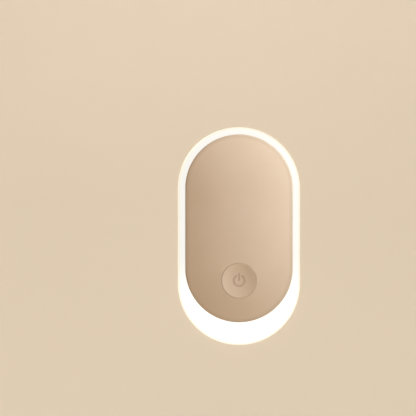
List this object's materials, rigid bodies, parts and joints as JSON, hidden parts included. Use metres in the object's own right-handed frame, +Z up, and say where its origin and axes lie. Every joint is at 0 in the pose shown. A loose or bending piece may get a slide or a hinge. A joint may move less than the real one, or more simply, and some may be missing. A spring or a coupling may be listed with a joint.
{
  "type": "plug-in night light",
  "caption": "Pill-shaped plug-in sensor night light: crowned panel with a dished push button on a glowing milky diffuser, flat back with plug blades.",
  "frame": {"origin": "midway between the plug blades, on the flat back that meets the socket plate", "axes": "+Z up along the lamp's height, +Y into the wall along the blades, the lit front faces -Y"},
  "size_m": [0.06, 0.0467, 0.107],
  "materials": {
    "panel_plastic": "satin champagne-beige moulding",
    "milky_plastic": "milky, lit from inside",
    "housing_plastic": "fine-textured cream moulding",
    "white_plastic": "white moulding",
    "nickel_plate": "nickel-plated brass",
    "brown_insulation": "wire insulation",
    "blue_insulation": "wire insulation",
    "white_board": "white solder mask",
    "led_resin": "phosphor resin",
    "clear_resin": "clear resin",
    "black_plastic": "black moulding",
    "steel": "zinc-plated",
    "green_board": "green solder mask",
    "film_coating": "moulded box",
    "can_aluminium": "drawn can",
    "resistor_coating": "flameproof coating",
    "pin_brass": "tinned"
  },
  "bodies": {
    "lamp": {"front_panel": "panel_plastic", "diffuser": "milky_plastic", "rear_housing": "housing_plastic", "reflector_frame": "white_plastic", "live_blade": "nickel_plate", "neutral_blade": "nickel_plate", "pin_clamp": "housing_plastic", "live_wire": "brown_insulation", "neutral_wire": "blue_insulation", "led_board": "white_board", "leds": "led_resin", "light_sensor": "clear_resin", "sensor_shroud": "black_plastic", "switch_base": "black_plastic", "switch_cover": "steel", "switch_legs": "steel", "driver_board": "green_board", "film_capacitor": "film_coating", "smoothing_capacitor": "can_aluminium", "fuse_resistor": "resistor_coating", "bridge_rectifier": "black_plastic", "control_chip": "black_plastic", "chip_resistors": "black_plastic", "header_block": "black_plastic", "header_pins": "pin_brass", "housing_screws": "steel", "clamp_screws": "steel", "board_screws": "steel"},
    "button": {"power_button": "panel_plastic", "switch_plunger": "black_plastic"}
  },
  "joints": [
    {"name": "button_press", "type": "slide", "parent": "lamp", "child": "button", "axis": [0, 1, 0], "range_m": [0, 0.0006], "stiffness_N_per_m": 1200, "springref_m": -0.0005}
  ]
}
